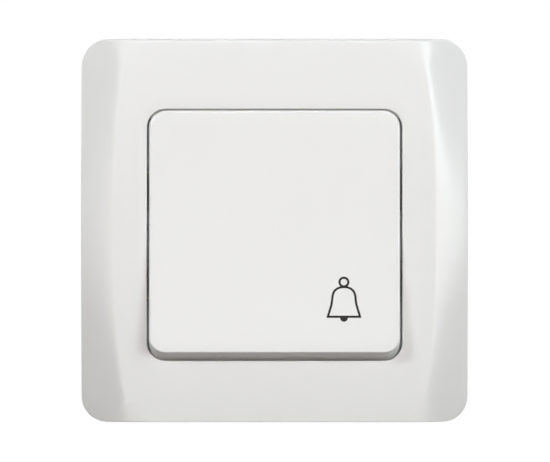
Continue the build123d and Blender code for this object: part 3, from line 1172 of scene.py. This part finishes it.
@dataclass
class Screw:
    """A screw with a driven head and a cut thread, drawn from its head's crown to its point."""

    name: str
    nodes: tuple[str, ...]
    body: Body
    places: tuple[tuple[Vector, Vector], ...]
    head_radius: float
    head_high: float
    shank_radius: float
    shank_long: float
    point_radius: float
    point_long: float
    pitch: float
    drive: Drive = Drive.CROSS
    drive_deep: float = 0.9
    drive_wide: float = 0.36
    drive_reach: float = 0.62
    # The recess narrows to these shares of its reach and width at its floor, which dips to the middle.
    floor_reach: float = 0.45
    floor_width: float = 0.6
    floor_dip: float = 0.1
    # The recess's mouth stays inside the head's edge, a little below the crown.
    mouth_most: float = 0.96
    mouth_dip: float = 0.03
    mouth_rim: float = 0.02
    edge: float = 0.5
    edge_steps: int = 6
    seat_edge: float = 0.12
    flank_steps: int = 3
    # The thread's depth is a share of its pitch; a steeper flank leaves a flat on the ridge.
    thread_deep: float = 0.45
    thread_flank: float = 1.35
    thread_start: float = 0.15
    thread_steps: int = 8
    smallest: ClassVar[float] = 1e-6
    crisp: ClassVar[float] = 35.0

    @property
    def reach(self) -> float:
        """How far the recess reaches from the head's middle."""
        return self.head_radius * (self.drive_reach if self.drive is Drive.CROSS else 1.0)

    def angles(self) -> list[float]:
        """Lay directions round the screw, with the recess's corners among them.

        Returns:
            The directions, in order.
        """
        near = atan2(self.drive_wide, self.reach)
        middle, far = pi / 4, pi / 2 - near
        flanks = [*steps(near, middle, self.flank_steps), *steps(middle, far, self.flank_steps)]
        quarter = sorted({0.0, near, middle, far, *flanks})
        return [turn * pi / 2 + angle for turn in range(4) for angle in quarter]

    def recess(self, angle: float, share: float) -> float:
        """How far the recess's wall lies from the middle, in one direction.

        Args:
            angle: The direction.
            share: Share of the full recess that is left at this depth.

        Returns:
            The distance.
        """
        across, along = abs(sin(angle)), abs(cos(angle))
        reach = self.reach * share
        wide = self.drive_wide * (self.floor_width + (1 - self.floor_width) * share)
        if self.drive is Drive.CROSS:
            across, along = min(across, along), max(across, along)
        return min(reach / max(along, self.smallest), wide / max(across, self.smallest))

    def section(self, angle: float) -> list[Vector]:
        """Draw the screw along one direction, with its seat at height 0 and its head above.

        Args:
            angle: The direction.

        Returns:
            Points from the recess's floor over the head and down the thread to the point.
        """

        def ring(radius: float, height: float) -> Vector:
            """A place on the screw."""
            return Vector((radius * cos(angle), radius * sin(angle), height))

        crown = self.head_high
        floor = crown - self.drive_deep
        mouth = min(self.recess(angle, 1.0), self.head_radius * self.mouth_most)
        points = [ring(0.0, floor - self.floor_dip), ring(self.recess(angle, self.floor_reach), floor)]
        points.append(ring(mouth, crown - self.mouth_dip))
        for turn in steps(0.0, pi / 2, self.edge_steps):
            radius = self.head_radius - self.edge + self.edge * sin(turn)
            height = crown - self.edge + self.edge * cos(turn)
            points.append(ring(max(radius, mouth + self.mouth_rim), height))
        points += [ring(self.head_radius, self.seat_edge), ring(self.head_radius - self.seat_edge, 0.0)]
        points.append(ring(self.shank_radius, 0.0))
        deep = self.pitch * self.thread_deep
        count = ceil(self.shank_long / self.pitch * self.thread_steps)
        for height in steps(-self.thread_start, -self.shank_long + self.point_long, count):
            turn = (height / self.pitch - angle / (2 * pi)) % 1.0
            ridge = 1 - abs(2 * turn - 1)
            points.append(ring(self.shank_radius - deep * (1 - min(1.0, self.thread_flank * ridge)), height))
        return points + [ring(self.point_radius, -self.shank_long), ring(0.0, -self.shank_long)]

    def build(self) -> bpy.types.Object:
        """Build the screw at each of its places and dress it.

        Returns:
            The screws, as one piece.
        """
        bm = bmesh.new()
        sections = [self.section(angle) for angle in self.angles()]
        for seat, axis in self.places:
            turn = Vector((0, 0, 1)).rotation_difference(axis).to_matrix().to_4x4()
            place = Matrix.Translation(seat) @ turn @ Matrix.Scale(MM, 4)
            skin(bm, [[place @ point for point in section] for section in sections])
        piece = to_object(bm, self.name, self.crisp)
        return dress(piece, ZINC_SCREW, self.body, self.nodes)


@dataclass
class CoilSpring:
    """A compression spring round the plunger's axis, with closed ends."""

    name: str
    node: str
    body: Body
    radius: float
    wire: float
    low: float
    high: float
    turns: float
    up: float = -13.0
    # The closed turns at each end, and their rise per turn, in radii of the wire.
    end_turns: float = 0.9
    end_pitch: float = 2.04
    turn_steps: int = 28
    wire_steps: int = 10

    def build(self) -> bpy.types.Object:
        """Build the spring by turning its wire's section, closely at the ends and openly between them.

        Returns:
            The spring.
        """
        bm = bmesh.new()
        start = Matrix.Translation(spot(self.radius, self.up, self.low + self.wire))
        ring = bmesh.ops.create_circle(
            bm, cap_ends=True, segments=self.wire_steps, radius=self.wire * MM, matrix=start
        )["verts"]
        geom = around(ring)
        rise = self.high - self.low - 2 * self.wire
        end_rise = self.end_pitch * self.wire * self.end_turns
        stretches = [
            (self.end_turns, end_rise),
            (self.turns - 2 * self.end_turns, rise - 2 * end_rise),
            (self.end_turns, end_rise),
        ]
        for turns, height in stretches:
            count = ceil(turns * self.turn_steps)
            geom = bmesh.ops.spin(
                bm,
                geom=geom,
                cent=spot(0, self.up, 0),
                axis=(0, -1, 0),
                dvec=spot(0, 0, height / count),
                angle=turns * 2 * pi,
                steps=count,
                use_merge=False,
            )["geom_last"]
        piece = to_object(bm, self.name)
        return dress(piece, SPRING_STEEL, self.body, [self.node])


@dataclass
class MouldedSolid:
    """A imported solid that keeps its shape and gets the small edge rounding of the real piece."""

    node: str
    finish: Finish
    body: Body
    slot: Slot
    edge: float = 0.12
    edge_steps: int = 2
    # Angles in degrees: faces that turn by less are one flat, edges that turn by more are rounded, and an edge
    # that turns by more after that stays crisp.
    flat_angle: float = 1.0
    sharp_angle: float = 35.0
    crisp_angle: float = 50.0

    def build(self, nodes: dict[str, bpy.types.Object]) -> bpy.types.Object:
        """Copy the solid, close it, round its edges and dress it.

        Its normals are weighted by area, so that the flats look flat beside the rounded edges.

        Args:
            nodes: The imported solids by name.

        Returns:
            The piece.
        """
        bm = bmesh.new()
        bm.from_mesh(nodes[self.node].data)
        bmesh.ops.remove_doubles(bm, verts=bm.verts[:], dist=SOLID_WELD)
        limit = radians(self.flat_angle)
        bmesh.ops.dissolve_limit(bm, angle_limit=limit, verts=bm.verts[:], edges=bm.edges[:])
        limit = radians(self.sharp_angle)
        sharp = [edge for edge in bm.edges if edge.is_manifold and edge.calc_face_angle(0.0) > limit]
        bmesh.ops.bevel(
            bm,
            geom=sharp,
            offset=self.edge * MM,
            offset_type="OFFSET",
            segments=self.edge_steps,
            profile=0.5,
            affect="EDGES",
            clamp_overlap=True,
            material=-1,
        )
        piece = to_object(bm, f"{self.node}_piece", self.crisp_angle)
        flats = piece.modifiers.new("flats_stay_flat", "WEIGHTED_NORMAL")
        flats.keep_sharp = True
        return dress(piece, self.finish, self.body, [self.node])


@dataclass(frozen=True)
class Lamp:
    """A softbox: where it stands and aims, its size, its light, and how widely it spreads in degrees."""

    name: str
    place: tuple[float, float, float]
    aim: tuple[float, float, float]
    size: tuple[float, float]
    watts: float
    colour: str
    spread: float = 180.0

    def build(self) -> bpy.types.Object:
        """Hang the softbox and turn it to its aim.

        Returns:
            The lamp.
        """
        light = bpy.data.lights.new(self.name, "AREA")
        light.shape = "RECTANGLE"
        light.size, light.size_y = self.size
        light.energy = self.watts
        light.spread = radians(self.spread)
        light.color = linear(self.colour)[:3]
        made = bpy.data.objects.new(self.name, light)
        made.location = self.place
        way = Vector(self.aim) - Vector(self.place)
        made.rotation_euler = way.to_track_quat("-Z", "Y").to_euler()
        bpy.context.collection.objects.link(made)
        return made


@dataclass
class Studio:
    """Plain studio: white surroundings, softboxes, a pale floor below the object and the camera."""

    white: str = "#FFFFFF"
    floor_up: float = -0.068
    floor_radius: float = 0.2
    floor_sides: int = 96
    floor_colour: str = "#E9E8E6"
    floor_gloss: tuple[float, float] = (0.78, 0.82)
    # The floor fades out over this share of its radius, and its gloss has this many patches a metre.
    floor_fade: float = 0.5
    floor_patches: float = 60.0
    camera_place: tuple[float, float, float] = (0.0001, -1.3056, 0.00087)
    lens: float = 392.0
    sensor: float = 36.0
    lamps: tuple[Lamp, ...] = (
        Lamp("softbox_right", (0.53, -0.445, 0.18), (0, 0, 0), (0.26, 0.4), 0.914, "#F3FEFF", 100.0),
        Lamp("softbox_left", (-0.5, -0.4, 0.3), (0, 0, 0), (0.2, 0.2), 0.651, "#F5FFFE", 100.0),
        Lamp("softbox_front", (0, -0.9, 0.3), (0, 0, 0.05), (0.4, 0.2), 0.145, "#FFFEF2", 60.0),
        Lamp("softbox_top", (-0.17, -0.835, 0.31), (-0.02, 0, 0.1), (0.3, 0.1), 0.063, "#E3DBFF", 34.0),
        Lamp("strip_right", (0.367, -0.61, 0), (0, 0, 0), (0.06, 0.06), 0.080, "#FFDCD7", 80.0),
        Lamp("strip_left", (-0.37, -0.615, 0), (0, 0, 0.03), (0.1, 0.14), 0.085, "#FFE5CB", 80.0),
        Lamp("softbox_back_right", (0.5, 0.45, 0.3), (0, 0, 0), (0.4, 0.4), 3.000, "#FFFFFF", 180.0),
        Lamp("softbox_back_left", (-0.5, 0.45, 0.3), (0, 0, 0), (0.4, 0.4), 2.400, "#FFFFFF", 180.0),
        Lamp("softbox_under", (0, 0.4, -0.6), (0, 0, 0), (0.5, 0.3), 1.600, "#FFFFFF", 180.0),
    )

    def seen(self, tree: bpy.types.NodeTree) -> bpy.types.NodeSocket:
        """Tell rays that the eye follows, straight or by gloss and glass, from rays that carry soft light.

        Args:
            tree: The nodes of the world or of a material.

        Returns:
            1 for a ray that is seen and 0 for any other.
        """
        path = add_node(tree, "ShaderNodeLightPath").outputs
        sight = path["Is Camera Ray"]
        for more in ("Is Glossy Ray", "Is Transmission Ray"):
            settings = {"operation": "ADD", "use_clamp": True}
            sight = add_node(tree, "ShaderNodeMath", settings, {0: sight, 1: path[more]}).outputs[0]
        return sight

    def build_world(self) -> None:
        """Make the surroundings: white to the eye and in reflections, while only the softboxes give light."""
        world = bpy.data.worlds.new("studio_white")
        bpy.context.scene.world = world
        world.use_nodes = True
        tree = world.node_tree
        tree.nodes.clear()
        unlit = add_node(tree, "ShaderNodeBackground", {"Strength": 0.0})
        white = add_node(tree, "ShaderNodeBackground", {"Color": linear(self.white), "Strength": 1.0})
        mixed = add_node(
            tree, "ShaderNodeMixShader", {}, {0: self.seen(tree), 1: unlit.outputs[0], 2: white.outputs[0]}
        )
        add_node(tree, "ShaderNodeOutputWorld", {}, {"Surface": mixed.outputs[0]})

    def build_floor(self) -> bpy.types.Object:
        """Lay a round pale floor that fades out towards its edge and keeps the object's shadow.

        It throws no light back up, so that the underside of the rocker's edge stays as dark as on a wall.

        Returns:
            The floor.
        """
        bm = bmesh.new()
        place = Matrix.Translation((0, 0, self.floor_up))
        bmesh.ops.create_circle(
            bm, cap_ends=True, segments=self.floor_sides, radius=self.floor_radius, matrix=place
        )
        floor = to_object(bm, "studio_floor")
        made = bpy.data.materials.new("pale_floor_paint")
        made.use_nodes = True
        tree = made.node_tree
        tree.nodes.clear()
        where = add_node(tree, "ShaderNodeTexCoord").outputs["Object"]
        spread = add_node(
            tree,
            "ShaderNodeMapping",
            {"Location": (0, 0, -self.floor_up / self.floor_radius), "Scale": [1 / self.floor_radius] * 3},
            {"Vector": where},
        )
        round_fade = add_node(
            tree, "ShaderNodeTexGradient", {"gradient_type": "SPHERICAL"}, {"Vector": spread.outputs[0]}
        )
        fade = add_node(
            tree,
            "ShaderNodeMapRange",
            {1: 0.0, 2: self.floor_fade, 3: 0.0, 4: 1.0},
            {0: round_fade.outputs[1]},
        )
        cover = add_node(
            tree, "ShaderNodeMath", {"operation": "MULTIPLY"}, {0: fade.outputs[0], 1: self.seen(tree)}
        )
        mottle = add_node(tree, "ShaderNodeTexNoise", {"Scale": self.floor_patches}, {"Vector": where})
        rough = add_node(
            tree,
            "ShaderNodeMapRange",
            {1: NOISE_LOW, 2: NOISE_HIGH, 3: self.floor_gloss[0], 4: self.floor_gloss[1]},
            {0: mottle.outputs[0]},
        )
        shader = add_node(
            tree,
            "ShaderNodeBsdfPrincipled",
            {"Base Color": linear(self.floor_colour)},
            {"Roughness": rough.outputs[0], "Alpha": cover.outputs[0]},
        )
        add_node(tree, "ShaderNodeOutputMaterial", {}, {"Surface": shader.outputs[0]})
        floor.data.materials.append(made)
        return floor

    def build_camera(self) -> bpy.types.Object:
        """Set the camera straight in front of the button.

        Returns:
            The camera.
        """
        camera = bpy.data.cameras.new("camera")
        camera.lens = self.lens
        camera.sensor_width = self.sensor
        made = bpy.data.objects.new("camera", camera)
        made.location = self.camera_place
        made.rotation_euler = (pi / 2, 0, 0)
        bpy.context.collection.objects.link(made)
        bpy.context.scene.camera = made
        return made

    def build(self) -> None:
        """Set up the whole studio."""
        bpy.context.scene.view_settings.view_transform = "Standard"
        self.build_world()
        self.build_floor()
        self.build_camera()
        for lamp in self.lamps:
            lamp.build()


def screws() -> list[Screw]:
    """List the screws of the button.

    Returns:
        The screws, with their places and sizes.
    """
    out, up = Vector((0, -1, 0)), Vector((0, 0, 1))
    assembly_up, assembly_seat = 23.2, 3.2
    claw_side, claw_seat = 21.5, 3.4
    terminal_side, terminal_up, terminal_out = 8.5, 15.4, -16.0
    claws = [
        Screw(
            name=f"claw_screw_{hand}_threaded",
            nodes=(f"claw_screw_{hand}",),
            body=body,
            places=((spot(side * claw_side, 0, claw_seat), out),),
            head_radius=2.8,
            head_high=1.8,
            shank_radius=1.5,
            shank_long=5.1,
            point_radius=0.35,
            point_long=1.15,
            pitch=0.6,
        )
        for side, hand, body in ((-1, "left", Body.LEFT_SCREW), (1, "right", Body.RIGHT_SCREW))
    ]
    assembly = Screw(
        name="assembly_screw_pair",
        nodes=("assembly_screws",),
        body=Body.INSERT,
        places=tuple((spot(0, side * assembly_up, assembly_seat), out) for side in (-1, 1)),
        head_radius=2.2,
        head_high=1.6,
        shank_radius=1.1,
        shank_long=10.2,
        point_radius=0.6,
        point_long=0.6,
        pitch=0.7,
    )
    terminal = Screw(
        name="terminal_screw_pair",
        nodes=("terminal_screws",),
        body=Body.INSERT,
        places=tuple((spot(side * terminal_side, terminal_up, terminal_out), up) for side in (-1, 1)),
        head_radius=2.3,
        head_high=2.0,
        shank_radius=1.25,
        shank_long=2.5,
        point_radius=0.9,
        point_long=0.3,
        pitch=0.5,
        drive=Drive.SLOT,
        drive_deep=0.8,
        drive_wide=0.3,
    )
    return [assembly, *claws, terminal]


def springs() -> tuple[CoilSpring, CoilSpring]:
    """List the springs of the button.

    Returns:
        The contact spring, which moves with the plunger, and the return spring below it.
    """
    contact = CoilSpring(
        name="contact_spring_coil",
        node="contact_spring",
        body=Body.PLUNGER,
        radius=1.5,
        wire=0.2,
        low=-13.0,
        high=-9.4,
        turns=4.5,
    )
    returning = CoilSpring(
        name="return_spring_coil",
        node="return_spring",
        body=Body.INSERT,
        radius=2.4,
        wire=0.25,
        low=-20.0,
        high=-16.0,
        turns=5.0,
    )
    return contact, returning


def solids() -> list[MouldedSolid]:
    """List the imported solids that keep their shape.

    Returns:
        The solids, each with its finish, its body, its slot and its edge's radius.
    """
    return [
        MouldedSolid("rocker_lever", WHITE_POLYAMIDE, Body.ROCKER, Slot.WHITE_POLYAMIDE, 0.15),
        MouldedSolid("bearing_plate", WHITE_POLYAMIDE, Body.INSERT, Slot.WHITE_POLYAMIDE, 0.15),
        MouldedSolid("contact_plunger", WHITE_POLYAMIDE, Body.PLUNGER, Slot.WHITE_POLYAMIDE, 0.1),
        MouldedSolid("base_housing", GREY_POLYAMIDE, Body.INSERT, Slot.GREY_POLYAMIDE, 0.15),
        MouldedSolid("mounting_strap", ZINC_STEEL, Body.INSERT, Slot.STEEL, 0.1),
        MouldedSolid("claw_left", ZINC_STEEL, Body.LEFT_CLAW, Slot.STEEL, 0.1),
        MouldedSolid("claw_right", ZINC_STEEL, Body.RIGHT_CLAW, Slot.STEEL, 0.1),
        MouldedSolid("contact_bridge", BRASS, Body.PLUNGER, Slot.BRASS, 0.06),
        MouldedSolid("fixed_contact_left", BRASS, Body.INSERT, Slot.BRASS, 0.06),
        MouldedSolid("fixed_contact_right", BRASS, Body.INSERT, Slot.BRASS, 0.06),
        MouldedSolid("terminal_left", BRASS, Body.INSERT, Slot.BRASS, 0.12),
        MouldedSolid("terminal_right", BRASS, Body.INSERT, Slot.BRASS, 0.12),
        MouldedSolid("bridge_tips", SILVER, Body.PLUNGER, Slot.SILVER, 0.12),
        MouldedSolid("fixed_tips", SILVER, Body.INSERT, Slot.SILVER, 0.12),
    ]


def main() -> None:
    """Load the frame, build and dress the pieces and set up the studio."""
    logging.basicConfig(level=logging.INFO, format="%(name)s %(message)s")
    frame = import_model()
    CoverFrame().build()
    rocker = RockerCap()
    rocker.build()
    BellSign(rocker).build()
    for solid in solids():
        solid.build(frame["nodes"])
    for screw in screws():
        screw.build()
    contact_spring, return_spring = springs()
    contact_spring.build()
    spring = return_spring.build()
    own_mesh(spring)
    Studio().build()


if __name__ == "__main__":
    main()
